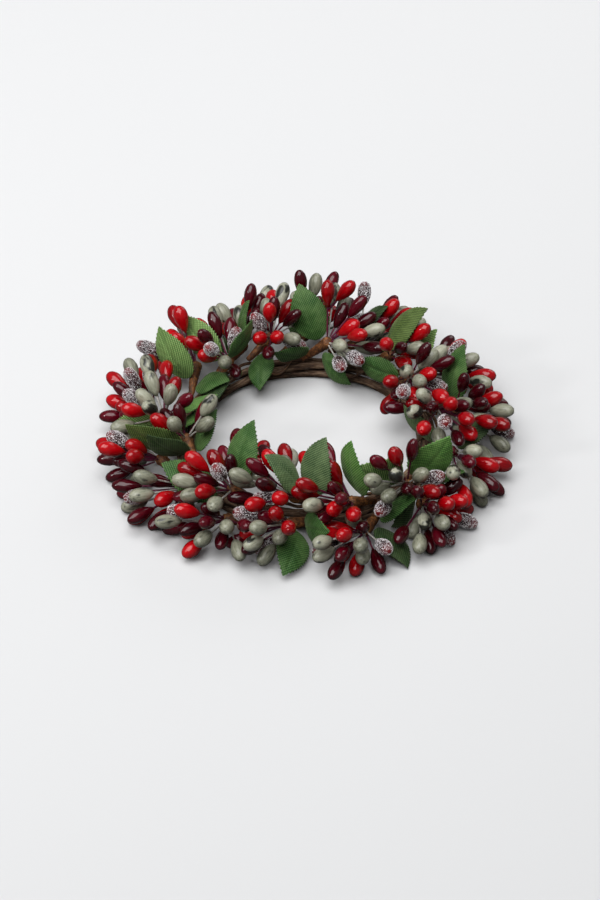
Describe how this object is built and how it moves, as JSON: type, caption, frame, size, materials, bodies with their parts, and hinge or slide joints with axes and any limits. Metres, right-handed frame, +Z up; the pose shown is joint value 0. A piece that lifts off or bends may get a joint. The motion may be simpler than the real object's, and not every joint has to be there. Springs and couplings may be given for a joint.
{
  "type": "candle ring",
  "caption": "Open garland ring for the foot of a pillar candle: a wound grapevine ring dressed with sprays of lacquered and frosted pip berries and cloth leaves.",
  "frame": {"origin": "centre of the ring, on the table that it lies on", "axes": "+Z up from the table, -Y to the front, +X to the right seen from the front"},
  "size_m": [0.1685, 0.1741, 0.0447],
  "materials": {
    "vine_bark": "dry stringy bark",
    "tendril_bark": "dry smooth bark",
    "floral_tape": "waxed crepe paper",
    "leaf_cloth": "stiffened printed weave",
    "red_berry": "clear lacquer",
    "burgundy_berry": "clear lacquer",
    "sage_berry": "pearly lacquer",
    "frosted_berry": "clear grains",
    "white_thread": "waxed thread",
    "dark_thread": "waxed thread"
  },
  "bodies": {
    "root": {"burgundy_berries_back": "burgundy_berry", "burgundy_berries_front": "burgundy_berry", "burgundy_berries_left": "burgundy_berry", "burgundy_berries_right": "burgundy_berry", "dark_threads_back": "dark_thread", "dark_threads_front": "dark_thread", "dark_threads_left": "dark_thread", "dark_threads_right": "dark_thread", "frosted_berries_back": "frosted_berry", "frosted_berries_front": "frosted_berry", "frosted_berries_left": "frosted_berry", "frosted_berries_right": "frosted_berry", "red_berries_back": "red_berry", "red_berries_front": "red_berry", "red_berries_left": "red_berry", "red_berries_right": "red_berry", "sage_berries_back": "sage_berry", "sage_berries_front": "sage_berry", "sage_berries_left": "sage_berry", "sage_berries_right": "sage_berry", "spray_01_leaves": "leaf_cloth", "spray_01_tape": "floral_tape", "spray_02_leaves": "leaf_cloth", "spray_02_tape": "floral_tape", "spray_03_leaves": "leaf_cloth", "spray_03_tape": "floral_tape", "spray_04_leaves": "leaf_cloth", "spray_04_tape": "floral_tape", "spray_05_leaves": "leaf_cloth", "spray_05_tape": "floral_tape", "spray_06_leaves": "leaf_cloth", "spray_06_tape": "floral_tape", "spray_07_leaves": "leaf_cloth", "spray_07_tape": "floral_tape", "spray_08_leaves": "leaf_cloth", "spray_08_tape": "floral_tape", "spray_09_leaves": "leaf_cloth", "spray_09_tape": "floral_tape", "spray_10_leaves": "leaf_cloth", "spray_10_tape": "floral_tape", "spray_11_leaves": "leaf_cloth", "spray_11_tape": "floral_tape", "spray_12_leaves": "leaf_cloth", "spray_12_tape": "floral_tape", "spray_13_leaves": "leaf_cloth", "spray_13_tape": "floral_tape", "vine_ring": "vine_bark", "wandering_tendril": "tendril_bark", "white_threads_back": "white_thread", "white_threads_front": "white_thread", "white_threads_left": "white_thread", "white_threads_right": "white_thread"}
  },
  "joints": []
}
